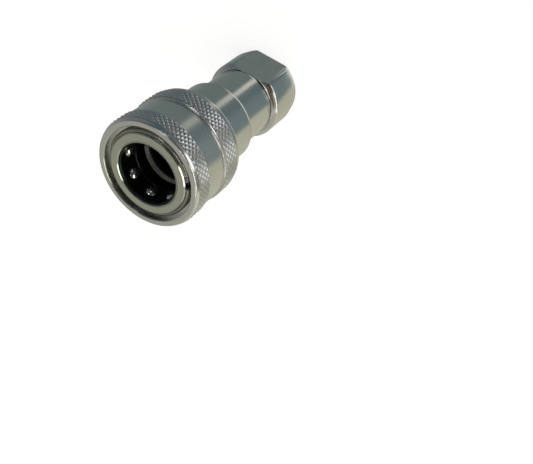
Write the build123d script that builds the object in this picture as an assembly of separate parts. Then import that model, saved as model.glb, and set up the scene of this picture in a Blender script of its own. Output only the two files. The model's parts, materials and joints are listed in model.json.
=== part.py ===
from build123d import *
import os
from math import cos, pi, sin, sqrt

# Hydraulic quick coupler, female half, 3/8 inch size.
# Units are millimetres. Z is the coupler's axis and points out of its mouth.
# The origin is the centre of the flat end face of the rear collar, round the threaded port.
# "Depth" is measured from the front face of the sleeve back into the coupler.

# Whole coupler
overall_length = 69.5
bore_radius = 9.55
edge_break = 0.25
cut_margin = 1.0
section_sides = 8
spring_steps_per_turn = 16
closed_turn_gap = 0.12
spring_end_clearance = 0.04

# Locking balls
ball_diameter = 4.763
ball_count = 8
ball_first_angle = -7.5
ball_depth = 5.3
ball_protrusion = 1.0
ball_clear_of_bore = 0.05
ball_hole_clearance = 0.05
ball_land_clearance = 0.107

# Ring that stops the sleeve on the nose
ring_wire = 1.7
ring_front_depth = 0.8
ring_groove_sink = 0.6
ring_clearance = 0.05
ring_gap_angle = 18.0
ring_gap_direction = -123.0

# Sleeve, from its mouth back
sleeve_front_taper = 1.6
sleeve_front_fall = 0.65
front_knurl_length = 5.0
band_length = 7.6
groove_length = 1.7
groove_sink = 0.5
rear_knurl_length = 5.4
rear_rim_length = 2.3
sleeve_rear_chamfer = 0.8
knurl_height = 0.6
sleeve_wall = 2.0
counterbore_step = 0.2
sleeve_travel = 5.5
land_clearance = 0.12
land_behind_balls = 3.7

# Body, from its nose to its tail
nose_recess = 0.2
nose_chamfer = 0.3
flange_height = 1.85
flange_thickness = 1.8
flange_clearance = 0.15
sleeve_past_flange = 2.6
barrel_step = 0.2
barrel_chamfer = 0.4
barrel_shown_length = 14.4
tail_step = 1.9
tail_wall = 2.6
tail_chamfer = 0.35
thread_clearance = 0.05

# Socket for the plug: wider entry, guiding land, then the mouth seal and the socket's floor
mouth_chamfer = 0.6
entry_step = 0.2
entry_behind_balls = 2.5
guiding_land_length = 4.4
socket_floor_length = 3.65

# Mouth seal: backing ring in front of an O-ring, in one groove of the bore
seal_groove_sink = 2.35
backup_ring_width = 2.2
backup_ring_setback = 0.2
interface_seal_section = 2.25
seal_side_clearance = 0.05
seal_end_clearance = 0.1

# Valve: seat in the body, poppet, guide and spring
seat_lip = 3.55
seat_throat_length = 3.0
chamber_step = 0.95
poppet_travel = 4.5
poppet_stop_clearance = 0.1
poppet_cone_gap = 0.15
poppet_head_clearance = 1.0
poppet_head_length = 2.0
poppet_hub_radius = 4.3
poppet_hub_stand = 1.1
poppet_tip_radius = 2.5
poppet_tip_length = 2.6
poppet_spring_boss_length = 1.6
poppet_stem_radius = 2.5
poppet_stem_past_guide = 1.5
poppet_seal_section = 1.5
poppet_seal_clearance = 0.08
poppet_seal_on_seat = 0.9
guide_thickness = 3.0
guide_rim_width = 1.8
guide_clearance = 0.05
guide_hub_step = 0.1
guide_arm_width = 2.4
guide_arm_count = 4
stem_clearance = 0.08
valve_spring_wire = 1.1
valve_spring_pitch = 2.35
valve_spring_fit = 0.45

# Sleeve spring
sleeve_spring_wire = 1.2
sleeve_spring_pitch = 4.0

# Adapter: the rear collar with the threaded port and two wrench flats, and its spigot
adapter_shown_length = 15.8
collar_step = 1.8
collar_front_taper = 1.3
collar_rear_taper = 3.8
collar_rear_fall = 0.8
wrench_flats_apart = 22.2
wrench_flats_direction = -53.0
port_bore_radius = 7.34
port_countersink = 1.26
port_depth = 14.0
flow_wall = 2.8
spigot_chamfer = 0.5
spigot_share = 0.3046

# Seal between adapter and body
adapter_seal_section = 1.78
adapter_seal_sink = 0.9
adapter_seal_pocket_depth = 1.9

# Radii, from the bore outwards
ball_radius = ball_diameter / 2
ball_rest_radius = bore_radius - ball_protrusion + ball_radius
ball_lift = ball_protrusion + ball_clear_of_bore
land_radius = ball_rest_radius + ball_radius + ball_land_clearance
nose_radius = land_radius - land_clearance
ring_groove_radius = nose_radius - ring_groove_sink
flange_radius = nose_radius + flange_height
spring_room_radius = flange_radius + flange_clearance
sleeve_counterbore_radius = spring_room_radius + counterbore_step
band_radius = sleeve_counterbore_radius + sleeve_wall
knurl_radius = band_radius + knurl_height
groove_radius = band_radius - groove_sink
sleeve_face_radius = knurl_radius - sleeve_front_fall
barrel_radius = nose_radius + barrel_step
tail_radius = barrel_radius - tail_step
collar_radius = tail_radius + collar_step
spigot_radius = tail_radius - tail_wall
thread_bore_radius = spigot_radius + thread_clearance
flow_bore_radius = spigot_radius - flow_wall
adapter_seal_groove_radius = spigot_radius - adapter_seal_sink

# Radii inside the body
entry_radius = bore_radius + entry_step
seal_groove_radius = bore_radius + seal_groove_sink
chamber_radius = bore_radius - chamber_step
seat_hole_radius = bore_radius - seat_lip
poppet_head_radius = chamber_radius - poppet_head_clearance
poppet_seal_radius_on_seat = seat_hole_radius + poppet_seal_on_seat
poppet_cone_offset = poppet_cone_gap * sqrt(2)

# Depths behind the sleeve's front face
ring_rear_depth = ring_front_depth + ring_wire
land_front_depth = ring_rear_depth + 2 * ring_clearance
land_rear_depth = ball_depth + land_behind_balls
land_front_radius = land_radius + (ball_depth - land_front_depth) * ball_lift / sleeve_travel
entry_depth = ball_depth + entry_behind_balls
seal_groove_depth = entry_depth + guiding_land_length
seal_groove_width = backup_ring_width + interface_seal_section + 2 * seal_end_clearance
socket_depth = seal_groove_depth + seal_groove_width + socket_floor_length
front_knurl_rear_depth = sleeve_front_taper + front_knurl_length
groove_front_depth = front_knurl_rear_depth + band_length
rear_knurl_front_depth = groove_front_depth + groove_length
rear_knurl_rear_depth = rear_knurl_front_depth + rear_knurl_length
sleeve_length = rear_knurl_rear_depth + rear_rim_length
flange_front_depth = sleeve_length - sleeve_past_flange
barrel_rear_depth = sleeve_length + barrel_shown_length


def height(depth):
    """Height above the origin of a plane that lies this far behind the sleeve's front face."""
    return overall_length - depth


# Heights above the origin
tail_height = adapter_shown_length
nose_height = height(nose_recess)
seat_front_height = height(socket_depth + seat_throat_length)
seat_rear_height = seat_front_height - (chamber_radius - seat_hole_radius)
spigot_length = (seat_front_height - tail_height) * spigot_share
guide_rear_height = tail_height + spigot_length
guide_front_height = guide_rear_height + guide_thickness


def turned(outline):
    """Solid turned about the axis from a closed outline of (radius, height) points."""
    return revolve(make_face(Polyline([(r, 0, z) for r, z in outline], close=True)), Axis.Z)


def wire_section(section):
    """Eight-sided outline that stands for a round wire or cord of the given thickness."""
    return RegularPolygon(section / 2, section_sides, major_radius=False, rotation=180 / section_sides)


def o_ring(centre_radius, centre_height, section):
    """Ring of round cord of the given thickness."""
    cord = Plane.XZ * Pos(centre_radius, centre_height) * wire_section(section)
    return revolve(cord, Axis.Z)


def coil_spring(mean_radius, wire, low, high, pitch):
    """Coil spring between two flat seats, with a closed turn at each end, bent in short straight steps."""
    closed_rise = wire + closed_turn_gap
    open_rise = high - low - wire - 2 * spring_end_clearance - 2 * closed_rise
    open_steps = round(spring_steps_per_turn * open_rise / pitch)
    last_open_step = spring_steps_per_turn + open_steps
    level = low + spring_end_clearance + wire / 2
    points = []
    for step in range(last_open_step + spring_steps_per_turn + 1):
        angle = 2 * pi * step / spring_steps_per_turn
        points.append((mean_radius * cos(angle), mean_radius * sin(angle), level))
        is_open = spring_steps_per_turn <= step < last_open_step
        level += open_rise / open_steps if is_open else closed_rise / spring_steps_per_turn
    path = Polyline(points)
    wire_face = Plane(origin=path @ 0, x_dir=(1, 0, 0), z_dir=path % 0) * wire_section(wire)
    return sweep(wire_face, path=path, transition=Transition.RIGHT)


def adapter():
    """Rear collar with the threaded port and two wrench flats, and the spigot that screws into the body."""
    taper_top = tail_height - edge_break
    undercut_top = tail_height + adapter_seal_pocket_depth
    outside = turned([
        (0, 0),
        (collar_radius - collar_rear_fall, 0),
        (collar_radius, collar_rear_taper),
        (collar_radius, taper_top - collar_front_taper),
        (tail_radius, taper_top),
        (tail_radius - edge_break, tail_height),
        (adapter_seal_groove_radius, tail_height),
        (adapter_seal_groove_radius, undercut_top),
        (spigot_radius, undercut_top + spigot_radius - adapter_seal_groove_radius),
        (spigot_radius, guide_rear_height - spigot_chamfer),
        (spigot_radius - spigot_chamfer, guide_rear_height),
        (0, guide_rear_height),
    ])
    between_flats = Box(wrench_flats_apart, 2 * collar_radius, 2 * guide_rear_height)
    passage = turned([
        (0, -cut_margin),
        (port_bore_radius + port_countersink + cut_margin, -cut_margin),
        (port_bore_radius, port_countersink),
        (port_bore_radius, port_depth),
        (flow_bore_radius, port_depth + port_bore_radius - flow_bore_radius),
        (flow_bore_radius, guide_rear_height + cut_margin),
        (0, guide_rear_height + cut_margin),
    ])
    return (outside & Rot(0, 0, wrench_flats_direction) * between_flats) - passage


def adapter_seal():
    """O-ring in the pocket between the body's tail and the adapter's collar."""
    pocket_radius = adapter_seal_groove_radius + adapter_seal_section
    middle = (adapter_seal_groove_radius + pocket_radius) / 2
    return o_ring(middle + seal_side_clearance / 2, tail_height + adapter_seal_pocket_depth / 2, adapter_seal_section)


def body_outside():
    """Turned outside of the body: tail, barrel, spring flange and nose."""
    barrel_rear = height(barrel_rear_depth)
    flange_front = height(flange_front_depth)
    flange_rear = flange_front - flange_thickness
    return turned([
        (0, tail_height),
        (tail_radius - tail_chamfer, tail_height),
        (tail_radius, tail_height + tail_chamfer),
        (tail_radius, barrel_rear),
        (barrel_radius - barrel_chamfer, barrel_rear),
        (barrel_radius, barrel_rear + barrel_chamfer),
        (barrel_radius, flange_rear),
        (flange_radius, flange_rear),
        (flange_radius, flange_front),
        (nose_radius, flange_front),
        (nose_radius, nose_height - nose_chamfer),
        (nose_radius - nose_chamfer, nose_height),
        (0, nose_height),
    ])


def body_passage():
    """Everything bored out of the body: mouth, socket, valve seat, chamber and thread."""
    mouth_flare = entry_radius + mouth_chamfer + cut_margin
    pocket_top = tail_height + adapter_seal_pocket_depth
    pocket_radius = adapter_seal_groove_radius + adapter_seal_section + seal_side_clearance
    return turned([
        (0, nose_height + cut_margin),
        (mouth_flare, nose_height + cut_margin),
        (entry_radius, nose_height - mouth_chamfer),
        (entry_radius, height(entry_depth)),
        (bore_radius, height(entry_depth) + bore_radius - entry_radius),
        (bore_radius, height(socket_depth)),
        (seat_hole_radius, height(socket_depth)),
        (seat_hole_radius, seat_front_height),
        (chamber_radius, seat_rear_height),
        (chamber_radius, guide_front_height),
        (thread_bore_radius, guide_front_height),
        (thread_bore_radius, pocket_top),
        (pocket_radius, pocket_top),
        (pocket_radius, tail_height - cut_margin),
        (0, tail_height - cut_margin),
    ])


def groove(inner_radius, outer_radius, front_depth, width):
    """Square groove between two radii, to be cut from a turned piece."""
    front = height(front_depth)
    return turned([
        (inner_radius, front),
        (outer_radius, front),
        (outer_radius, front - width),
        (inner_radius, front - width),
    ])


def ball_places():
    """Angle of each locking ball about the axis."""
    return [ball_first_angle + number * 360 / ball_count for number in range(ball_count)]


def ball_hole(angle):
    """Stepped radial hole: open outwards, with a round lip that keeps the ball from falling in."""
    hole_radius = ball_radius + ball_hole_clearance
    length = nose_radius - ball_rest_radius + cut_margin
    barrel = Cylinder(hole_radius, length, align=(Align.CENTER, Align.CENTER, Align.MIN))
    shape = barrel + Sphere(hole_radius)
    outwards = Rot(0, 0, angle) * Pos(ball_rest_radius, 0, height(ball_depth)) * Rot(0, 90, 0)
    return outwards * shape


def body():
    """Main body with the socket, ball holes, ring groove, seal groove and valve seat."""
    ring_groove = groove(
        ring_groove_radius,
        nose_radius + cut_margin,
        ring_front_depth - ring_clearance,
        ring_wire + 2 * ring_clearance,
    )
    seal_groove = groove(0, seal_groove_radius, seal_groove_depth, seal_groove_width)
    shape = body_outside() - body_passage() - ring_groove - seal_groove
    for angle in ball_places():
        shape -= ball_hole(angle)
    return shape


def backup_ring():
    """Flat plastic ring in front of the mouth O-ring."""
    return groove(
        bore_radius + backup_ring_setback,
        seal_groove_radius - seal_side_clearance,
        seal_groove_depth + seal_end_clearance / 2,
        backup_ring_width,
    )


def interface_o_ring():
    """Mouth O-ring, at the size it has when squeezed by the plug."""
    middle_depth = seal_groove_depth + seal_groove_width - seal_end_clearance - interface_seal_section / 2
    middle_radius = seal_groove_radius - seal_side_clearance - interface_seal_section / 2
    return o_ring(middle_radius, height(middle_depth), interface_seal_section)


def poppet_seal_centre():
    """Radius and height of the middle of the poppet seal's section."""
    offset = (poppet_seal_section / 2 + poppet_seal_clearance) / sqrt(2)
    on_seat = seat_front_height - (poppet_seal_radius_on_seat - seat_hole_radius)
    return poppet_seal_radius_on_seat - offset, on_seat - offset


def poppet_cone_height(radius):
    """Height of the poppet's cone at a radius, just behind the seat's cone."""
    return seat_front_height - (radius - seat_hole_radius) - poppet_cone_offset


def poppet_head_rear():
    """Height of the face that the valve spring pushes on."""
    return poppet_cone_height(poppet_head_radius) - poppet_head_length


def poppet_boss_rear():
    """Height of the shoulder that stops the poppet on the guide's hub."""
    return poppet_head_rear() - poppet_spring_boss_length


def poppet():
    """Valve poppet: tip, cone with its seal groove, head, spring boss and guided stem."""
    hub_front = height(socket_depth) + poppet_hub_stand
    tip_front = hub_front + poppet_tip_length
    head_rear = poppet_head_rear()
    boss_rear = poppet_boss_rear()
    stem_rear = guide_rear_height - poppet_stem_past_guide
    shape = turned([
        (0, tip_front),
        (poppet_tip_radius - 2 * edge_break, tip_front),
        (poppet_tip_radius, tip_front - 2 * edge_break),
        (poppet_tip_radius, hub_front),
        (poppet_hub_radius - edge_break, hub_front),
        (poppet_hub_radius, hub_front - edge_break),
        (poppet_hub_radius, poppet_cone_height(poppet_hub_radius)),
        (poppet_head_radius, poppet_cone_height(poppet_head_radius)),
        (poppet_head_radius, head_rear),
        (poppet_hub_radius, head_rear),
        (poppet_hub_radius, boss_rear),
        (poppet_stem_radius, boss_rear),
        (poppet_stem_radius, stem_rear + edge_break),
        (poppet_stem_radius - edge_break, stem_rear),
        (0, stem_rear),
    ])
    seal_radius, seal_height = poppet_seal_centre()
    return shape - o_ring(seal_radius, seal_height, poppet_seal_section)


def poppet_seal():
    """O-ring on the poppet's cone."""
    seal_radius, seal_height = poppet_seal_centre()
    return o_ring(seal_radius, seal_height, poppet_seal_section)


def valve_guide():
    """Spoked guide for the poppet's stem, clamped between the body's step and the spigot."""
    rim_radius = thread_bore_radius - guide_clearance
    rim_inner = rim_radius - guide_rim_width
    upright = (Align.CENTER, Align.CENTER, Align.MIN)
    rim = Cylinder(rim_radius, guide_thickness, align=upright) - Cylinder(rim_inner, guide_thickness, align=upright)
    hub_length = poppet_boss_rear() - poppet_travel - poppet_stop_clearance - guide_rear_height
    hub = Cylinder(poppet_hub_radius - guide_hub_step, hub_length, align=upright)
    arm_length = rim_inner + guide_rim_width / 2
    arm = Box(arm_length, guide_arm_width, guide_thickness, align=(Align.MIN, Align.CENTER, Align.MIN))
    shape = rim + hub
    for number in range(guide_arm_count):
        shape += Rot(0, 0, number * 360 / guide_arm_count) * arm
    shape -= Cylinder(poppet_stem_radius + stem_clearance, hub_length, align=upright)
    return Pos(0, 0, guide_rear_height) * shape


def valve_spring():
    """Spring that holds the poppet on its seat."""
    mean_radius = poppet_hub_radius + valve_spring_fit + valve_spring_wire / 2
    return coil_spring(mean_radius, valve_spring_wire, guide_front_height, poppet_head_rear(), valve_spring_pitch)


def sleeve():
    """Sliding sleeve with two knurled bands outside and the locking land inside."""
    front = overall_length
    rear = height(sleeve_length)
    front_knurl_rear = height(front_knurl_rear_depth)
    groove_front = height(groove_front_depth)
    rear_knurl_front = height(rear_knurl_front_depth)
    rear_knurl_rear = height(rear_knurl_rear_depth)
    return turned([
        (sleeve_counterbore_radius + edge_break, front),
        (sleeve_face_radius, front),
        (knurl_radius, front - sleeve_front_taper),
        (knurl_radius, front_knurl_rear + knurl_height / 2),
        (band_radius, front_knurl_rear),
        (band_radius, groove_front),
        (groove_radius, groove_front - groove_sink),
        (groove_radius, rear_knurl_front + groove_sink / 2),
        (knurl_radius, rear_knurl_front - groove_sink / 2),
        (knurl_radius, rear_knurl_rear + knurl_height / 2),
        (band_radius, rear_knurl_rear - knurl_height / 2),
        (band_radius, rear + sleeve_rear_chamfer),
        (band_radius - sleeve_rear_chamfer, rear),
        (spring_room_radius + edge_break, rear),
        (spring_room_radius, rear + edge_break),
        (spring_room_radius, height(land_rear_depth)),
        (land_radius, height(land_rear_depth)),
        (land_radius, height(ball_depth)),
        (land_front_radius, height(land_front_depth)),
        (sleeve_counterbore_radius, height(land_front_depth)),
        (sleeve_counterbore_radius, front - edge_break),
    ])


def sleeve_spring():
    """Spring between the body's flange and the sleeve's land."""
    mean_radius = (nose_radius + spring_room_radius) / 2
    low = height(flange_front_depth)
    high = height(land_rear_depth)
    return coil_spring(mean_radius, sleeve_spring_wire, low, high, sleeve_spring_pitch)


def sleeve_retaining_ring():
    """Split wire ring in the nose's groove, which stops the sleeve."""
    middle_radius = ring_groove_radius + ring_clearance + ring_wire / 2
    middle_height = height(ring_front_depth + ring_wire / 2)
    wire_face = Plane.XZ * Pos(middle_radius, middle_height) * wire_section(ring_wire)
    ring = revolve(wire_face, Axis.Z, 360 - ring_gap_angle)
    return Rot(0, 0, ring_gap_direction + ring_gap_angle / 2) * ring


def locking_ball(angle):
    """Steel ball that stands out into the bore and locks the plug."""
    return Rot(0, 0, angle) * Pos(ball_rest_radius, 0, height(ball_depth)) * Sphere(ball_radius)


def pieces():
    """Every piece of the coupler by its name."""
    made = {
        "adapter": adapter(),
        "adapter_seal": adapter_seal(),
        "body": body(),
        "backup_ring": backup_ring(),
        "interface_o_ring": interface_o_ring(),
        "poppet": poppet(),
        "poppet_seal": poppet_seal(),
        "valve_guide": valve_guide(),
        "valve_spring": valve_spring(),
        "sleeve": sleeve(),
        "sleeve_spring": sleeve_spring(),
        "sleeve_retaining_ring": sleeve_retaining_ring(),
    }
    for number, angle in enumerate(ball_places(), start=1):
        made[f"locking_ball_{number}"] = locking_ball(angle)
    return made


os.makedirs("parts", exist_ok=True)
for name, shape in pieces().items():
    export_step(shape, f"parts/{name}.step")
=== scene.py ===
# %% [markdown]
# # A hydraulic quick coupler in Blender
# The real object is the female half of a quick coupler: a zinc plated steel body with a threaded
# collar at its back, a knurled sleeve that slides on it, and eight steel balls that lock the plug.
# The CAD solids give every place and size. This lesson dresses them: it keeps the solids whose
# shape is already right, builds finer meshes where the real surface has more detail, and then
# works on metal, rubber and light.

# %% Load the solids
import json
from math import acos, atan2, cos, degrees, hypot, pi, radians, sin

import bmesh
import bpy
from mathutils import Euler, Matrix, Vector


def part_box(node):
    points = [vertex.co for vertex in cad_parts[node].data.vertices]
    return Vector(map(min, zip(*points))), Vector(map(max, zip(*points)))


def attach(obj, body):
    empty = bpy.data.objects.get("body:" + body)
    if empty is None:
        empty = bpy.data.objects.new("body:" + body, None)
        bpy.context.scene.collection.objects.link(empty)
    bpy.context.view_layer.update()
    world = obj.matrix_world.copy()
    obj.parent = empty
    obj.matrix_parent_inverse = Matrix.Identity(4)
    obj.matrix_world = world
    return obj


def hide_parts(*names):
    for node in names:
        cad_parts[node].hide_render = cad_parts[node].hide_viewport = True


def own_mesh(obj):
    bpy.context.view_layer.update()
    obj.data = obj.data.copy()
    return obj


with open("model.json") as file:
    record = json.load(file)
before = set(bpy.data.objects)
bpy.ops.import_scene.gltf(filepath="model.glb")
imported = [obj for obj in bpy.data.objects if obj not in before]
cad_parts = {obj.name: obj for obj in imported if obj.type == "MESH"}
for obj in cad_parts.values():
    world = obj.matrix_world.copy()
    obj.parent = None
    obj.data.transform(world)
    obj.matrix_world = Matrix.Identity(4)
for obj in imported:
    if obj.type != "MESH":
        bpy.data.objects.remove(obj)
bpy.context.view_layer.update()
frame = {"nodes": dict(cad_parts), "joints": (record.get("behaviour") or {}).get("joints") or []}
MM = 0.001


def box_mm(node):
    """Lowest and highest corner of a solid's box, in millimetres."""
    return [[round(value / MM, 3) for value in corner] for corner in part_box(node)]


TRAVEL = {joint["name"]: joint["range_m"][1] / MM for joint in frame["joints"] if "range_m" in joint}

# %% [markdown]
# ## The camera
# A photograph fixes where its camera stood: the flattened circles give the direction, and the way
# they shrink towards the collar gives the distance. Both were worked out beforehand, so the camera
# is simply placed there, with the lens that makes the coupler as large as it is in the picture.

# %% Place the camera
CAMERA_PLACE = (24.38, -179.27, 229.0)
CAMERA_TURN = (-35.6886, 29.4657, -126.1267)
MOUTH = box_mm("sleeve")[1][2]

camera_data = bpy.data.cameras.new("camera")
camera_data.lens = 55.07
camera_data.sensor_width = 36.0
camera_data.clip_start = 0.01
camera = bpy.data.objects.new("camera", camera_data)
camera.location = [value * MM for value in CAMERA_PLACE]
camera.rotation_euler = Euler([radians(angle) for angle in CAMERA_TURN])
bpy.context.scene.collection.objects.link(camera)
bpy.context.scene.camera = camera
elevation = atan2(CAMERA_PLACE[2] - MOUTH, hypot(*CAMERA_PLACE[:2]))
print("camera elevation:", round(degrees(elevation), 1), "degrees")

# %% [markdown]
# ## Shader maths as Python
# A node tree is easier to read as a formula. A small class wraps a socket, so that `1 - mask` adds
# the Math node by itself. Any other node comes from one method, which is given the node's type, its
# settings, and the values or links of its inputs.

# %% A socket that can be added, multiplied and subtracted
class Field:
    """A value in a node tree. Sums and products with it add Math nodes."""

    def __init__(self, tree, socket):
        self.tree, self.socket = tree, socket

    def node(self, kind, settings=None, out=0, **inputs):
        """Add a node of any kind: settings first, then its inputs by name or by number."""
        made = self.tree.nodes.new(kind)
        for name, value in (settings or {}).items():
            if name == "stops":
                set_stops(made.color_ramp, value)
            else:
                setattr(made, name, value)
        for name, value in inputs.items():
            socket = made.inputs[int(name[1:]) if name[1:].isdigit() else name.replace("_", " ")]
            if isinstance(value, Field):
                self.tree.links.new(value.socket, socket)
            else:
                socket.default_value = value
        return Field(self.tree, made.outputs[out])

    def math(self, operation, *values):
        """Add a Math node on these values."""
        inputs = {f"i{number}": value for number, value in enumerate(values)}
        return self.node("ShaderNodeMath", {"operation": operation}, **inputs)

    def __add__(self, other):
        return self.math("ADD", self, other)

    def __sub__(self, other):
        return self.math("SUBTRACT", self, other)

    def __rsub__(self, other):
        return self.math("SUBTRACT", other, self)

    def __mul__(self, other):
        return self.math("MULTIPLY", self, other)

    __radd__ = __add__
    __rmul__ = __mul__

    def step(self, low, high):
        """0 below low, 1 above high, smooth between them."""
        settings = {"interpolation_type": "SMOOTHSTEP"}
        return self.node("ShaderNodeMapRange", settings, i0=self, i1=low, i2=high)

    def band(self, low, high, soft):
        """1 between low and high, fading to 0 over the soft width."""
        return self.step(low - soft, low + soft) * (1 - self.step(high - soft, high + soft))

    def ramp(self, *stops):
        """Colour for each value, from (place, colour) stops."""
        return self.node("ShaderNodeValToRGB", {"stops": stops}, i0=self)


def set_stops(ramp, stops):
    """Give a colour ramp these (place, colour) stops."""
    while len(ramp.elements) < len(stops):
        ramp.elements.new(1.0)
    for element, (place, colour) in zip(ramp.elements, stops):
        element.position, element.color = place, (*colour, 1.0)


def mix(mask, low, high):
    """Colour low where the mask is 0 and high where it is 1."""
    settings = {"data_type": "RGBA"}
    return mask.node("ShaderNodeMix", settings, out=2, i0=mask, i6=colour4(low), i7=colour4(high))


def colour4(value):
    """A colour with its alpha, or a field as it is."""
    return value if isinstance(value, Field) else (*value, 1.0)


print("shader formulas ready")

# %% [markdown]
# ## Zinc plated steel
# Bright zinc over turned steel is the finish of the whole outside. Its colour hardly changes, but
# the turning tool leaves fine grooves round the axis: they spread each highlight along the piece,
# which is the anisotropic setting, and they show as faint rings. One coordinate, height plus
# distance from the axis, runs along both the round sides and the flat faces, so a single noise on
# it draws the rings everywhere.

# %% Start of every finish
def start_material(name):
    """New material, its shader, and the position on the piece as a field."""
    made = bpy.data.materials.new(name)
    made.use_nodes = True
    tree = made.node_tree
    shader = tree.nodes["Principled BSDF"]
    place = Field(tree, None).node("ShaderNodeTexCoord", out=3)
    return made, shader, place


def feed(shader, **fields):
    """Link fields to a shader's sockets by name."""
    for name, value in fields.items():
        value.tree.links.new(value.socket, shader.inputs[name.replace("_", " ")])


def set_same(shader, **numbers):
    """Set sockets that are the same all over the surface."""
    for name, value in numbers.items():
        shader.inputs[name.replace("_", " ")].default_value = value


def parts_of(place):
    """The three coordinates of a position, in millimetres."""
    return [place.node("ShaderNodeSeparateXYZ", out=n, i0=place) * 1000.0 for n in range(3)]


def axis_fields(place):
    """Distance from the coupler's axis and height, in millimetres."""
    x, y, z = parts_of(place)
    squared = x * x + y * y
    return squared.math("SQRT", squared), z


def line_noise(along, scale, detail=2.0):
    """Noise that changes only along one coordinate, from 0 to 1. Scale is in lines per millimetre."""
    return along.node("ShaderNodeTexNoise", {"noise_dimensions": "1D"}, W=along, Scale=scale, Detail=detail)


def spot_noise(place, scale, detail=3.0):
    """Cloudy noise over the surface, from 0 to 1. Scale is in spots per metre."""
    return place.node("ShaderNodeTexNoise", Vector=place, Scale=scale, Detail=detail)


def bump(height, strength, distance):
    """Normals bent by a height, as if the surface had that relief."""
    return height.node("ShaderNodeBump", Height=height, Strength=strength, Distance=distance)


print("helpers for finishes ready")

# %% Metal with turning marks
GROOVES_PER_MM, GROOVE_RELIEF, CLOUDS_PER_METRE = 5.5, 0.02, 160.0


def turned_metal(name, light, tint, gloss, along_grooves, ring_depth, layers=None, edges=None):
    """Metal with two close colours, a roughness that varies a little, and turning rings."""
    made, shader, place = start_material(name)
    radius, height = axis_fields(place)
    rings = line_noise(radius + height, GROOVES_PER_MM)
    clouds = spot_noise(place, CLOUDS_PER_METRE)
    colour = mix(clouds.step(0.35, 0.7), light, tint)
    rough = gloss + (clouds - 0.5) * 0.08 + (rings - 0.5) * 0.1
    for mask, layer_colour, added_rough in layers(radius, height) if layers else ():
        colour = mix(mask, colour, layer_colour)
        rough = rough + mask * added_rough
    relief = rings * (ring_depth * GROOVE_RELIEF)
    if edges:
        relief = relief + edges(radius, height)
    set_same(shader, Metallic=1.0, Anisotropic=along_grooves, Anisotropic_Rotation=0.25)
    feed(shader, Base_Color=colour, Roughness=rough, Normal=bump(relief, 1.0, MM))
    return made


print("turning grooves:", GROOVES_PER_MM, "per millimetre")

# %% [markdown]
# ## One metal in different states
# The same zinc looks different from place to place. The socket is painted nearly black, as painted shade of
# the deep bore, and the nose round it is a little green. The gap between body and collar is painted dark, as
# painted shade. The knurl is rougher than the smooth band, and its valleys are painted darker, as painted
# shade.
# Each state is a layer: a mask, a colour and some added roughness. The lips of the body are broken
# edges too narrow to be worth a mesh, so a height rounds them, and only where they bend.

# %% Places on the body and the sleeve that differ
# Radii from the axis and heights above the collar's end face, in millimetres
NOSE_FACE, TAIL_END = box_mm("body")[1][2], box_mm("body")[0][2]
NOSE, BARREL, TAIL = 13.3, 13.5, 11.6
BORE, LIP, LIP_FOOT = 9.75, 10.35, 68.7
BARREL_END = 31.5
COLLAR_FACE = 15.8
BAND = 17.5
KNURLS = ((62.9, 68.55), (47.65, 53.65))

ZINC, ZINC_TINT = (0.72, 0.72, 0.70), (0.68, 0.69, 0.69)
# The second colour is painted shade of the deep bore, and the third is painted shade of the gap at the tail.
NOSE_TINT, PAINTED_BORE_SHADE, PAINTED_GAP_SHADE = (0.56, 0.58, 0.51), (0.026, 0.037, 0.032), (0.05, 0.055, 0.05)
# Colour of the knurl's valleys: painted shade between the teeth.
PAINTED_VALLEY_SHADE = (0.5, 0.51, 0.5)


def body_layers(radius, height):
    """A duller nose, the socket and its lip painted near black as painted shade of the bore, and painted
    shade in the gap at the tail.
    """
    outside_lip = radius.step(LIP - 0.05, LIP + 0.01)
    nose = height.step(NOSE_FACE - 0.2, NOSE_FACE - 0.1) * outside_lip
    # The socket and the inside of its lip are painted near black: painted shade of the deep bore.
    deep = (1 - radius.step(BORE + 0.11, BORE + 0.15)) * (1 - height.step(LIP_FOOT - 0.08, LIP_FOOT))
    lip = (1 - outside_lip) * height.step(LIP_FOOT - 0.1, LIP_FOOT)
    # Painted shade in the gap between the body's tail and the collar.
    gap = (1 - height.step(TAIL_END + 0.35, TAIL_END + 0.4)) * radius.step(TAIL - 0.6, TAIL - 0.5)
    return (nose, NOSE_TINT, 0.03), (deep + lip, PAINTED_BORE_SHADE, 0.12), (gap, PAINTED_GAP_SHADE, 0.3)


def below(value, edge):
    """How far a value lies below an edge: negative there, and 0 above it."""
    return value.math("MINIMUM", value - edge, 0.0)


def body_edges(radius, height):
    """Rounded edges as a height in millimetres: nose, mouth, end of the barrel, end of the tail."""
    nose = below(NOSE - 0.3 - radius, 0.0) * 0.13
    mouth = below(radius, LIP + 0.55) * 1.2 * height.step(NOSE_FACE - 0.2, NOSE_FACE - 0.1)
    barrel = below(height, BARREL_END + 0.8) * 0.36 * radius.step(BARREL - 0.4, BARREL - 0.3)
    tail = below(height, TAIL_END + 0.7) * 0.36 * (1 - radius.step(TAIL + 0.05, TAIL + 0.1))
    return nose + mouth + barrel + tail


def collar_gap(radius, height):
    """Painted shade in the gap between collar and body."""
    gap = height.step(COLLAR_FACE - 0.3, COLLAR_FACE - 0.24) * (1 - radius.step(TAIL, TAIL + 0.06))
    return ((gap, PAINTED_GAP_SHADE, 0.3),)


def knurl_layers(radius, height):
    """Both knurled bands are rougher than the smooth band, and painted darker in their valleys as painted
    shade.
    """
    bands = sum(height.band(low + 0.05, high - 0.05, 0.05) for low, high in KNURLS)
    knurled = bands * radius.step(BAND + 0.05, BAND + 0.15)
    return (knurled, ZINC_TINT, 0.12), (knurled * (1 - radius.step(BAND + 0.36, BAND + 0.5)), PAINTED_VALLEY_SHADE, 0.05)


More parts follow.
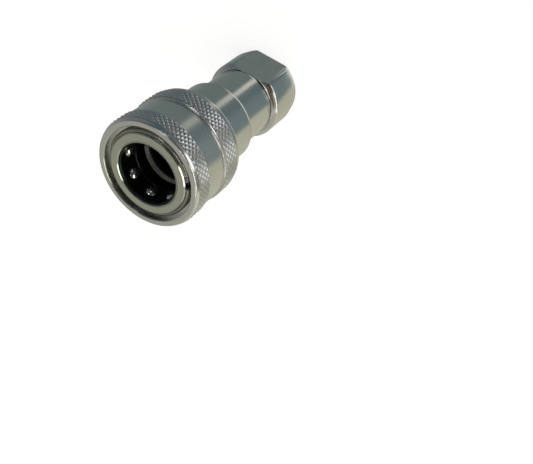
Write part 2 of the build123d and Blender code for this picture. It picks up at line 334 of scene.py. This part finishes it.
ZINC_TURNED = turned_metal("zinc_turned", ZINC, ZINC_TINT, 0.18, 0.7, 0.35, collar_gap)
ZINC_SLEEVE = turned_metal("zinc_knurled_sleeve", ZINC, ZINC_TINT, 0.22, 0.7, 0.35, knurl_layers)
ZINC_BODY = turned_metal("zinc_body", ZINC, ZINC_TINT, 0.18, 0.7, 0.35, body_layers, body_edges)
frame["nodes"]["body"].data.materials[0] = ZINC_BODY
print("turned zinc:", ZINC_TURNED.name, ZINC_SLEEVE.name, ZINC_BODY.name)

# %% [markdown]
# ## Milled zinc
# On the collar's wrench flats a milling cutter left straight marks in place of rings, and its grain
# has no direction that would draw out a highlight. So the flats get a plainer finish of their own.

# %% Zinc on the wrench flats
def milled_zinc():
    """Zinc on a flat that was milled: faint straight marks across it."""
    made, shader, place = start_material("zinc_milled")
    marks = line_noise(parts_of(place)[2], 2.2, 4.0)
    clouds = spot_noise(place, 220.0)
    set_same(shader, Metallic=1.0)
    feed(
        shader,
        Base_Color=mix(clouds.step(0.3, 0.7), ZINC, ZINC_TINT),
        Roughness=0.22 + (clouds - 0.5) * 0.06,
        Normal=bump(marks, 0.12, 0.02 * MM),
    )
    return made


ZINC_MILLED = milled_zinc()
print("milled zinc:", ZINC_MILLED.name)

# %% [markdown]
# ## Steel that isn't plated, rubber and plastic
# The poppet and its guide are steel painted nearly black, as painted shade deep in the bore. The wire
# ring and the springs are bright drawn wire with a warm green cast. Bearing balls are polished.
# Rubber is a soft black that never shines fully. The backing ring is a hard cream plastic with a
# faint painted glow, so that it still reads as pale in the dark socket.

# %% The other finishes
# Poppet and guide are painted near black: painted shade deep in the bore.
STEEL_DARK = turned_metal("steel_painted_dark", (0.045, 0.05, 0.05), (0.03, 0.035, 0.035), 0.34, 0.4, 0.3)
WIRE = turned_metal("steel_wire", (0.34, 0.35, 0.30), (0.27, 0.28, 0.24), 0.2, 0.0, 0.08)
BALL_STEEL = turned_metal("steel_polished", (0.78, 0.78, 0.79), (0.74, 0.74, 0.75), 0.05, 0.0, 0.0)


def soft_solid(name, light, dark, gloss, grain, glow=0.0):
    """Rubber or plastic: two close shades, a fine grain, and a painted glow where one is given."""
    made, shader, place = start_material(name)
    clouds = spot_noise(place, 700.0, 5.0)
    colour = mix(clouds.step(0.3, 0.7), light, dark)
    set_same(shader, Emission_Strength=glow)
    feed(
        shader,
        Base_Color=colour,
        Emission_Color=colour,
        Roughness=gloss + (clouds - 0.5) * 0.15,
        Normal=bump(spot_noise(place, 4000.0), grain, 0.01 * MM),
    )
    return made


RUBBER = soft_solid("rubber_black", (0.02, 0.02, 0.021), (0.012, 0.012, 0.013), 0.42, 0.3)
# The backing ring's faint glow is painted light, so that it reads as pale in the dark socket.
PLASTIC_PAINTED_GLOW = soft_solid("plastic_cream", (0.8, 0.78, 0.73), (0.6, 0.59, 0.54), 0.35, 0.1, 0.025)
for name in ("poppet", "valve_guide"):
    frame["nodes"][name].data.materials[0] = STEEL_DARK
for number in range(1, 9):
    frame["nodes"][f"locking_ball_{number}"].data.materials[0] = BALL_STEEL
print("finishes for wire, balls, rubber and plastic ready")

# %% [markdown]
# ## Meshes from rings
# Nearly everything here is turned, so one helper joins rings of points into a closed mesh, the way
# a lathe program lists a profile. Shading is smooth round the axis, and every edge of the profile
# that bends by more than 25 degrees stays crisp.

# %% Rings to mesh, mesh to piece
def polar(radius, angle, height):
    """Point at an angle round the axis, given in millimetres and returned in metres."""
    return radius * cos(angle) * MM, radius * sin(angle) * MM, height * MM


def ring(radius, height, columns):
    """One circle of points about the axis."""
    turn = 2 * pi / columns
    return [polar(radius, k * turn, height) for k in range(columns)]


def quads_between(rows, columns):
    """Four-sided faces between each ring and the next, and from the last ring to the first."""
    faces = []
    for row in range(rows):
        here, there = row * columns, (row + 1) % rows * columns
        for k in range(columns):
            after = (k + 1) % columns
            faces.append((here + k, here + after, there + after, there + k))
    return faces


def add_piece(name, points, faces, finish, body, slot, node, crisp=25.0):
    """Mesh object that rides on a body and stands for a CAD node."""
    mesh = bpy.data.meshes.new(name)
    mesh.from_pydata(points, [], faces)
    work = bmesh.new()
    work.from_mesh(mesh)
    bmesh.ops.remove_doubles(work, verts=work.verts, dist=0.001 * MM)
    bmesh.ops.recalc_face_normals(work, faces=work.faces)
    work.to_mesh(mesh)
    work.free()
    mesh.polygons.foreach_set("use_smooth", [True] * len(mesh.polygons))
    mesh.set_sharp_from_angle(angle=radians(crisp))
    mesh.materials.append(finish)
    piece = bpy.data.objects.new(name, mesh)
    bpy.context.scene.collection.objects.link(piece)
    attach(piece, body)
    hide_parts(node)
    print(name, "faces:", len(mesh.polygons))
    return piece


print("helpers for meshes ready")

# %% [markdown]
# ## The knurled sleeve
# A knurl is pressed by two wheels whose helical teeth cross, which leaves rows of small pyramids.
# It could be a bump map, but then the edges of the bands would stay smooth circles, and the real
# ones are serrated. So the sleeve is a fine grid: 60 diamonds round, ten columns each. Two
# families of diagonal valleys cross on the grid, and the face edges run along them, which keeps
# every valley sharp. Where the front taper and the end chamfers are lower than the teeth, the
# grid follows them, so that the teeth run out as they do behind a turning tool.

# %% Knurled rows
DIAMONDS, CELLS = 60, 10
SLEEVE_COLUMNS = DIAMONDS * CELLS
DIAMOND_HEIGHT = 1.75
KNURL_TOP, KNURL_DEPTH = 18.1, 0.25
# Height of a tooth's flank at each grid step, from the sharp valley to the rounded crest
FLANK = (0.0, 0.17, 0.43, 0.71, 0.92, 1.0)


def from_valley(number):
    """How many grid steps a diagonal lies from the nearest valley."""
    return min(number % CELLS, -number % CELLS)


def knurl_radius(column, row):
    """Radius of the knurled surface at a point of the grid."""
    rise = min(FLANK[from_valley(column + row)], FLANK[from_valley(column - row)])
    return KNURL_TOP - KNURL_DEPTH * (1 - rise)


def knurled_rings(top, bottom, limit):
    """Rings from one height down to another, each point no further out than limit(height)."""
    rows = round((top - bottom) / (DIAMOND_HEIGHT / CELLS))
    turn = 2 * pi / SLEEVE_COLUMNS
    rings = []
    for row in range(rows + 1):
        height = top + (bottom - top) * row / rows
        radii = [min(limit(height), knurl_radius(k, row)) for k in range(SLEEVE_COLUMNS)]
        rings.append([polar(radius, k * turn, height) for k, radius in enumerate(radii)])
    return rings


def knurl_faces(first, rows):
    """Triangles of a knurled band, cut along whichever valley is nearer."""
    faces = []
    for row in range(rows):
        for k in range(SLEEVE_COLUMNS):
            after = (k + 1) % SLEEVE_COLUMNS
            a, b = (first + row) * SLEEVE_COLUMNS + k, (first + row) * SLEEVE_COLUMNS + after
            c, d = b + SLEEVE_COLUMNS, a + SLEEVE_COLUMNS
            if from_valley(k - row) <= from_valley(k + row + 1):
                faces += [(a, b, c), (a, c, d)]
            else:
                faces += [(a, b, d), (b, c, d)]
    return faces


print("diamond:", round(2 * pi * KNURL_TOP / DIAMONDS, 2), "mm round,", DIAMOND_HEIGHT, "mm high")

# %% Limits that the knurl follows, and the plain stretches of the sleeve
SHOULDER, SHOULDER_SLOPE = 17.94, 0.45
GROOVE, GROOVE_SIDE = 17.0, 2.2
FRONT_KNURL_END, REAR_KNURL_END = 62.9, 47.6
REAR_KNURL_START = 53.85
FRONT_TAPER = (
    (0.0, 17.0), (0.08, 17.24), (0.23, 17.42), (0.4, 17.53), (0.9, 17.75), (1.5, 17.95), (2.2, KNURL_TOP),
)


def run_out(rise, steep):
    """End of a knurled band: a steep chamfer up from the band, then a slow one up to the teeth."""
    return min(BAND + rise * steep, SHOULDER + (rise - (SHOULDER - BAND) / steep) * SHOULDER_SLOPE)


def front_limit(height):
    """Rounded front taper by depth behind the mouth, then the end of the first knurl."""
    depth = MOUTH - height
    for (near, inner), (far, outer) in zip(FRONT_TAPER, FRONT_TAPER[1:]):
        if depth < far:
            return inner + (outer - inner) * (depth - near) / (far - near)
    return min(KNURL_TOP, run_out(height - FRONT_KNURL_END, 2.2))


def rear_limit(height):
    """Side of the groove, then the end of the second knurl."""
    groove_side = GROOVE + (REAR_KNURL_START - height) * GROOVE_SIDE
    return min(groove_side, KNURL_TOP, run_out(height - REAR_KNURL_END, 1.1))


def plain_rings(*profile):
    """Rings of the sleeve from the (radius, height) points of a profile."""
    return [ring(radius, height, SLEEVE_COLUMNS) for radius, height in profile]


print("front limit at the mouth:", front_limit(MOUTH), "mm")

# %% [markdown]
# ## Inside the sleeve
# A narrow land holds the balls in. In front of it the bore widens slowly, by as much over the
# sleeve's travel as the balls have to move out, and that slope is what unlocks the plug. Behind
# the land lies the chamber of the spring. These faces are plain rings in the same mesh.

# %% The sleeve, from its face round the outside and back through the bore
SLEEVE_END = box_mm("sleeve")[0][2]
# The rounded rear edge of the outside, as (inwards from the band, up from the end)
REAR_EDGE = ((0.0, 0.4), (0.02, 0.28), (0.08, 0.14), (0.2, 0.04), (0.4, 0.0))
LAND, LAND_TOP, LAND_END = 13.42, 64.2, 60.5
RELIEF_TOP, BALL_LIFT = 66.9, 1.05
COUNTERBORE, SPRING_CHAMBER = 15.5, 15.3

relief = LAND + (RELIEF_TOP - LAND_TOP) * BALL_LIFT / TRAVEL["sleeve_slide"]
front_face = plain_rings((COUNTERBORE + 0.25, MOUTH), (15.9, MOUTH), (16.88, MOUTH), (17.0, MOUTH))
front_knurl = knurled_rings(MOUTH - 0.07, FRONT_KNURL_END + 0.02, front_limit)
smooth_band = plain_rings(
    (BAND, FRONT_KNURL_END - 0.02), (BAND, 55.36), (17.44, 55.24), (17.06, 54.86),
    (GROOVE, 54.74), (GROOVE, REAR_KNURL_START + 0.03),
)
rear_knurl = knurled_rings(REAR_KNURL_START, REAR_KNURL_END + 0.02, rear_limit)
rear_rim = plain_rings(
    (BAND, REAR_KNURL_END - 0.02), (BAND, 46.4),
    *((BAND - inwards, SLEEVE_END + upwards) for inwards, upwards in REAR_EDGE),
)
inside = plain_rings(
    (SPRING_CHAMBER + 0.25, SLEEVE_END), (SPRING_CHAMBER, SLEEVE_END + 0.25), (SPRING_CHAMBER, LAND_END),
    (LAND, LAND_END), (LAND, LAND_TOP), (relief, RELIEF_TOP),
    (COUNTERBORE, RELIEF_TOP), (COUNTERBORE, MOUTH - 0.25),
)
rings = front_face + front_knurl + smooth_band + rear_knurl + rear_rim + inside

bands = (
    (len(front_face), len(front_knurl) - 1),
    (len(front_face + front_knurl + smooth_band), len(rear_knurl) - 1),
)
knurled_rows = {row for first, rows in bands for row in range(first, first + rows)}
quads = quads_between(len(rings), SLEEVE_COLUMNS)
sleeve_faces = [face for first, rows in bands for face in knurl_faces(first, rows)]
for row in range(len(rings)):
    if row not in knurled_rows:
        sleeve_faces += quads[row * SLEEVE_COLUMNS:(row + 1) * SLEEVE_COLUMNS]
points = [point for one in rings for point in one]
add_piece("knurled_sleeve", points, sleeve_faces, ZINC_SLEEVE, "sliding_sleeve", "plated_steel", "sleeve")

# %% [markdown]
# ## The collar with its wrench flats and pipe thread
# The rear collar is turned with a slow taper at its end and a steep one in front, and then two
# flats are milled for a wrench, with their long edges broken. Where a flat meets a taper the edge
# is a curve. Every column of the mesh finds its own crossing point, so that curve is exact and no
# cell lies on both surfaces. The port's thread is a V that climbs 1.411 mm each turn. It is cut by
# the radius of each point, and it fades out before the bottom of the hole, as a tap leaves it.

# %% Outside of the collar, column by column
HALF_FLAT, FLAT_TURN = 11.1, radians(-53.0)
COLLAR, REAR_EDGE, REAR_TAPER = 13.4, 12.6, 3.8
EDGE_TURN, EDGE_CUT = radians(13.4), 0.09
EDGE_REACH = COLLAR * cos(acos(HALF_FLAT / COLLAR) - EDGE_TURN) - EDGE_CUT
FLAT_SPAN = atan2(EDGE_REACH / HALF_FLAT - cos(EDGE_TURN), sin(EDGE_TURN))
ROUND_START = EDGE_TURN + acos(EDGE_REACH / COLLAR)
COLLAR_FRONT = (
    (COLLAR, 13.98), (13.37, 14.14), (13.28, 14.3), (13.13, 14.445),
    (12.0, 15.26), (11.65, 15.41), (11.6, 15.55), (11.35, COLLAR_FACE),
)


def collar_angles():
    """Column angles, with one on each side of the flats' broken edges."""
    on_flat, beside = 36, 60
    angles = []
    for side in (FLAT_TURN, FLAT_TURN + pi):
        angles += [side + FLAT_SPAN * (2 * k / on_flat - 1) for k in range(on_flat + 1)]
        angles += [side + ROUND_START + (pi - 2 * ROUND_START) * k / beside for k in range(beside + 1)]
    return angles


def front_points(cap):
    """Rounded shoulder, front taper and broken edge of the collar, cut off at a radius."""
    points = []
    for (outer, low), (inner, high) in zip(COLLAR_FRONT, COLLAR_FRONT[1:]):
        if cap >= outer:
            points.append((outer, low))
        elif cap > inner:
            points.append((cap, high - (high - low) * (cap - inner) / (outer - inner)))
        else:
            points.append(None)
    points.append(COLLAR_FRONT[-1])
    first = next(point for point in points if point)
    return [point or first for point in points]


def collar_column(angle):
    """Points up the outside of the collar at one angle, as (radius, height). The cap is its radius there."""
    across = max(abs(cos(angle - FLAT_TURN)), 0.01)
    cap = min(COLLAR, HALF_FLAT / across, EDGE_REACH / cos(acos(across) - EDGE_TURN))
    rear = max((cap - REAR_EDGE) * REAR_TAPER / (COLLAR - REAR_EDGE), 0.0)
    return [(min(cap, REAR_EDGE), 0.0), (cap, rear)] + front_points(cap)


angles = collar_angles()
print("collar columns:", len(angles))

# %% Port thread and the rest of the adapter
PITCH, CREST, THREAD_DEPTH = 1.411, 7.34, 1.02
THREAD_END, THREAD_FADE, PORT_END = 13.6, 1.4, 13.9
COUNTERSINK = 8.6
SEAL_SEAT, SPIGOT, SPIGOT_END, FLOW_BORE = 8.1, 9.0, 24.999, 6.2


def thread_radius(angle, height):
    """Radius of the port's wall: the thread, flat on crest and root, or the wider countersink."""
    turns = height / PITCH - angle / (2 * pi)
    from_crest = 1 - abs(2 * (turns % 1.0) - 1)
    cut = min(max(from_crest * 1.2 - 0.12, 0.0), 1.0) * THREAD_DEPTH
    fade = min(max((THREAD_END - height) / THREAD_FADE, 0.0), 1.0)
    return max(CREST + cut * fade, COUNTERSINK - height)


def adapter_column(angle):
    """All points of the adapter at one angle: outside, spigot, flow bore and threaded port."""
    spigot = [
        (SEAL_SEAT, COLLAR_FACE), (SEAL_SEAT, 17.7), (SPIGOT, 18.6), (SPIGOT, 24.5), (8.5, SPIGOT_END),
        (FLOW_BORE, SPIGOT_END), (FLOW_BORE, 15.14), (CREST, 14.0),
    ]
    steps = 118
    heights = [PORT_END * k / steps for k in range(steps, -1, -1)]
    return collar_column(angle) + spigot + [(thread_radius(angle, height), height) for height in heights]


rows = list(zip(*(adapter_column(angle) for angle in angles)))
points = [polar(radius, angle, height) for row in rows for angle, (radius, height) in zip(angles, row)]
faces = quads_between(len(rows), len(angles))
collar = add_piece("threaded_collar", points, faces, ZINC_TURNED, "coupler_body", "plated_steel", "adapter")
collar.data.materials.append(ZINC_MILLED)
flat_faces = 0
for face in collar.data.polygons:
    reach = face.center.x * cos(FLAT_TURN) + face.center.y * sin(FLAT_TURN)
    if abs(abs(reach) - HALF_FLAT * MM) < 0.02 * MM and abs(face.normal.z) < 0.1:
        face.material_index = 1
        flat_faces += 1
print("faces on the wrench flats:", flat_faces)

# %% [markdown]
# ## Wire and cord
# The stop ring, the springs and the O-rings are all one thing: a round section carried along a
# path. The solids keep them eight-sided to stay light, and here they become round. A spring ends
# in a closed turn that lies flat, so its path climbs slowly, then quickly, then slowly again.

# %% A round section along a path
def swept(stations, sides, closed):
    """Points and faces of a wire through stations of (angle, radius, height, half thickness)."""
    points = []
    for angle, radius, height, half in stations:
        for side in range(sides):
            around = 2 * pi * side / sides
            points.append(polar(radius + half * cos(around), angle, height + half * sin(around)))
    faces = quads_between(len(stations), sides)
    if not closed:
        last = (len(stations) - 1) * sides
        faces = faces[:last] + [tuple(range(sides)), tuple(last + side for side in reversed(range(sides)))]
    return points, faces


def rounded_ends(stations):
    """Add two smaller stations beyond each end, so that a cut wire ends round."""
    shares = ((0.39, 0.55), (0.15, 0.9))
    (first, *_), (last, radius, height, half) = stations[0], stations[-1]
    bend = half / radius
    start = [(first - bend * beyond, radius, height, half * thick) for beyond, thick in shares]
    end = [(last + bend * beyond, radius, height, half * thick) for beyond, thick in reversed(shares)]
    return start + stations + end


def spring_stations(radius, wire, low, high, pitch):
    """Stations of a spring between two seats, with one closed turn at each end."""
    clearance, steps_each = 0.04, 48
    closed_rise = wire + 0.12
    open_rise = high - low - wire - 2 * clearance - 2 * closed_rise
    open_turns = round(16 * open_rise / pitch) / 16
    stations = []
    for k in range(round((open_turns + 2) * steps_each) + 1):
        turns = k / steps_each
        slow = min(turns, 1.0) + max(turns - 1 - open_turns, 0.0)
        quick = min(max(turns - 1, 0.0), open_turns)
        height = low + clearance + wire / 2 + slow * closed_rise + quick * open_rise / open_turns
        stations.append((2 * pi * turns, radius, height, wire / 2))
    return stations


print("helpers for wire and cord ready")

# %% Stop ring and springs
GAP, GAP_TURN = radians(18.0), radians(-123.0)
RING_RADIUS, RING_HEIGHT, RING_WIRE, RING_STEPS = 13.6, 67.85, 1.7, 160

ring_angles = [GAP_TURN + GAP / 2 + (2 * pi - GAP) * k / RING_STEPS for k in range(RING_STEPS + 1)]
arc = [(angle, RING_RADIUS, RING_HEIGHT, RING_WIRE / 2) for angle in ring_angles]
stop_ring = swept(rounded_ends(arc), 28, False)
add_piece("stop_ring", *stop_ring, WIRE, "coupler_body", "spring_steel", "sleeve_retaining_ring", 50.0)


def spring(name, node, body, joint, radius, wire, pitch, low, high, sides):
    """Round spring between two seats."""
    coil = swept(spring_stations(radius, wire, low, high, pitch), sides, False)
    piece = add_piece(name, *coil, WIRE, body, "spring_steel", node, 50.0)
    keep = round(1 - TRAVEL[joint] / (high - low), 3)
    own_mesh(piece)


valve_low, valve_high = (corner[2] for corner in box_mm("valve_spring"))
spring("sleeve_coil", "sleeve_spring", "turning_spring", "sleeve_slide", 14.3, 1.2, 4.0, 48.5, 60.5, 20)
spring(
    "valve_coil", "valve_spring", "coupler_body", "poppet_slide", 5.3, 1.1, 2.35,
    valve_low - 0.04, valve_high + 0.04, 18,
)

# %% Seals and the backing ring
def seal(name, node, body, section):
    """Round rubber ring in the middle of its solid's box."""
    low, high = box_mm(node)
    steps, radius, height = 144, high[0] - section / 2, (low[2] + high[2]) / 2
    stations = [(2 * pi * k / steps, radius, height, section / 2) for k in range(steps)]
    add_piece(name, *swept(stations, 24, True), RUBBER, body, "black_rubber", node, 50.0)


seal("mouth_seal", "interface_o_ring", "coupler_body", 2.25)
seal("adapter_cord", "adapter_seal", "coupler_body", 1.78)
seal("valve_seal", "poppet_seal", "poppet_valve", 1.5)

(_, _, bottom), (outer, _, top) = box_mm("backup_ring")
profile = [
    (BORE + 0.1, bottom), (outer - 0.1, bottom), (outer, bottom + 0.1), (outer, top - 0.1),
    (outer - 0.1, top), (BORE + 0.1, top), (BORE, top - 0.1), (BORE, bottom + 0.1),
]
backing = [point for radius, height in profile for point in ring(radius, height, 144)]
faces = quads_between(len(profile), 144)
add_piece("backing_ring", backing, faces, PLASTIC_PAINTED_GLOW, "coupler_body", "white_plastic", "backup_ring")

# %% [markdown]
# ## Light
# Metal shows the room round it, so the room is the light. The photograph's reflections say what
# that room was: warm walls behind and to the left, a cool dark half on the camera's side, and a
# pale ceiling that the front faces mirror. A lit strip low in the room draws the streak down the
# barrel, a window whitens the sleeve's front taper, and small lamps give the glints on the balls
# and along the lips. Lamps of their own would do this too, but a room painted by direction keeps
# each reflection where the formula puts it. The ramps below go round the room by azimuth, and
# `up` is the sine of the elevation.

# %% Directions in the room
world = bpy.data.worlds.new("studio")
bpy.context.scene.world = world
world.use_nodes = True
tree = world.node_tree
direction = Field(tree, None).node("ShaderNodeTexCoord", out=0)
east, north, up = (direction.node("ShaderNodeSeparateXYZ", out=n, i0=direction) for n in range(3))
turn = east.math("ARCTAN2", north, east) * (0.5 / pi) + 0.5


def at(azimuth):
    """Place on the ramp of a direction, in degrees about the axis."""
    return (azimuth + 180.0) / 360.0


def wall(*stops):
    """Colours round the room, from (azimuth in degrees, colour) stops."""
    return turn.ramp(*((at(azimuth), colour) for azimuth, colour in stops))


def lamps(*places):
    """Round lamps of (azimuth, elevation, size) in degrees: 1 inside, fading at the edge."""
    total = 0
    for azimuth, elevation, size in places:
        a, e = radians(azimuth), radians(elevation)
        settings, towards = {"operation": "DOT_PRODUCT"}, (cos(a) * cos(e), sin(a) * cos(e), sin(e))
        facing = direction.node("ShaderNodeVectorMath", settings, out=1, i0=direction, i1=towards)
        total = total + facing.step(cos(radians(size)), cos(radians(size * 0.7)))
    return total


print("room directions ready")

# %% A studio painted by direction
BEIGE, COOL = (0.54, 0.53, 0.42), (0.18, 0.235, 0.24)
WARM_WHITE, WARM_GREY = (0.73, 0.72, 0.6), (0.5, 0.48, 0.4)
BROWN, SKY = (0.10, 0.07, 0.045), (0.085, 0.12, 0.15)
STREAK, CEILING = (0.95, 0.95, 0.86), (0.33, 0.33, 0.31)
WINDOW, LAMP, LIP_LAMP, GROUND = (2.0, 2.0, 1.95), (4.0, 4.0, 3.9), (3.4, 3.4, 3.1), (1.2, 1.2, 1.15)

low_wall = wall(
    (-180, BEIGE), (-152, BEIGE), (-143, COOL), (-100, (0.15, 0.195, 0.205)), (-82, (0.11, 0.16, 0.175)),
    (-60, (0.17, 0.2, 0.19)), (30, (0.17, 0.21, 0.2)), (60, (0.24, 0.27, 0.26)), (98, (0.40, 0.41, 0.36)),
    (125, BEIGE), (180, BEIGE),
)
eye_wall = wall(
    (-180, WARM_WHITE), (-165, WARM_WHITE), (-155, (0.10, 0.09, 0.075)), (-134, (0.3, 0.29, 0.27)),
    (-82, (0.26, 0.27, 0.27)), (-65, (0.16, 0.17, 0.17)), (-47, SKY), (-30, SKY), (-13, (0.14, 0.17, 0.19)),
    (20, (0.18, 0.2, 0.21)), (60, (0.34, 0.34, 0.33)), (120, (0.5, 0.49, 0.42)), (180, WARM_WHITE),
)
high_wall = wall(
    (-180, WARM_GREY), (-168, WARM_GREY), (-162, BROWN), (-108, BROWN), (-95, (0.06, 0.06, 0.055)),
    (-50, (0.05, 0.06, 0.06)), (-20, (0.08, 0.10, 0.11)), (30, (0.14, 0.16, 0.17)), (70, (0.40, 0.40, 0.35)),
    (140, (0.42, 0.41, 0.35)), (180, WARM_GREY),
)
streak = turn.band(at(-58.5), at(-42.5), 0.014) * (1 - up.step(-0.80, -0.70))
window = turn.band(at(-124), at(-93), 0.006) * up.band(-0.34, 0.12, 0.03)
room = mix(up.step(-0.62, -0.5), mix(streak, low_wall, STREAK), eye_wall)
room = mix(up.step(0.18, 0.32), room, high_wall)
room = mix(up.step(0.93, 0.97), room, CEILING)
room = mix(window, room, WINDOW)
room = mix(lamps((-20, 62, 6), (150, 55, 5), (-50, 22, 4), (-115, 81, 6)), room, LAMP)
room = mix(lamps((-158, 28, 8), (-146, 30, 8), (-134, 33, 8), (-122, 36, 8)), room, LIP_LAMP)
room = mix(1 - up.step(-0.97, -0.92), room, GROUND)
background = tree.nodes["Background"]
tree.links.new(room.socket, background.inputs["Color"])
background.inputs["Strength"].default_value = 1.0
print("studio walls painted")

# %% [markdown]
# ## Floor and backdrop
# The photograph has a plain white ground. A pale disc that glows a little stays white without
# lamps, and a dome closes the picture behind it. Both are hidden from reflections, so the metal
# mirrors the painted room and not the white.

# %% Floor and backdrop
STAGE_RADIUS = 1500.0


def glowing(name, base, glow):
    """Flat pale paint that also glows a little, so that it never turns grey."""
    paint, shader, place = start_material(name)
    clouds = spot_noise(place, 3.0)
    set_same(shader, Roughness=1.0, Emission_Strength=glow, Specular_IOR_Level=0.0)
    set_same(shader, Emission_Color=(1.0, 1.0, 1.0, 1.0))
    feed(shader, Base_Color=mix(clouds, [base] * 3, [base * 0.98] * 3))
    return paint


def stage_piece(name, rings_of_points, paint, fill_first):
    """Floor or backdrop: open rings of points, seen by the camera and not mirrored in the metal."""
    sides = len(rings_of_points[0])
    points = [point for one in rings_of_points for point in one]
    faces = quads_between(len(rings_of_points), sides)[:sides * (len(rings_of_points) - 1)]
    if fill_first:
        faces.append(tuple(range(sides)))
    mesh = bpy.data.meshes.new(name)
    mesh.from_pydata(points, [], faces)
    made = bpy.data.objects.new(name, mesh)
    made.data.materials.append(paint)
    made.visible_glossy = False
    made.visible_shadow = False
    bpy.context.scene.collection.objects.link(made)
    return made


disc = [ring(STAGE_RADIUS, 0.0, 64), ring(STAGE_RADIUS - 1.0, 0.0, 64)]
floor = stage_piece("floor", disc, glowing("floor_paint", 0.6, 0.8), True)
dome = [ring(STAGE_RADIUS * cos(radians(e)), STAGE_RADIUS * sin(radians(e)), 64) for e in range(0, 90, 6)]
backdrop = stage_piece("backdrop", dome, glowing("backdrop_paint", 0.0, 1.0), False)
backdrop.visible_diffuse = False
bpy.context.scene.view_settings.view_transform = "Standard"
print("floor and backdrop placed")
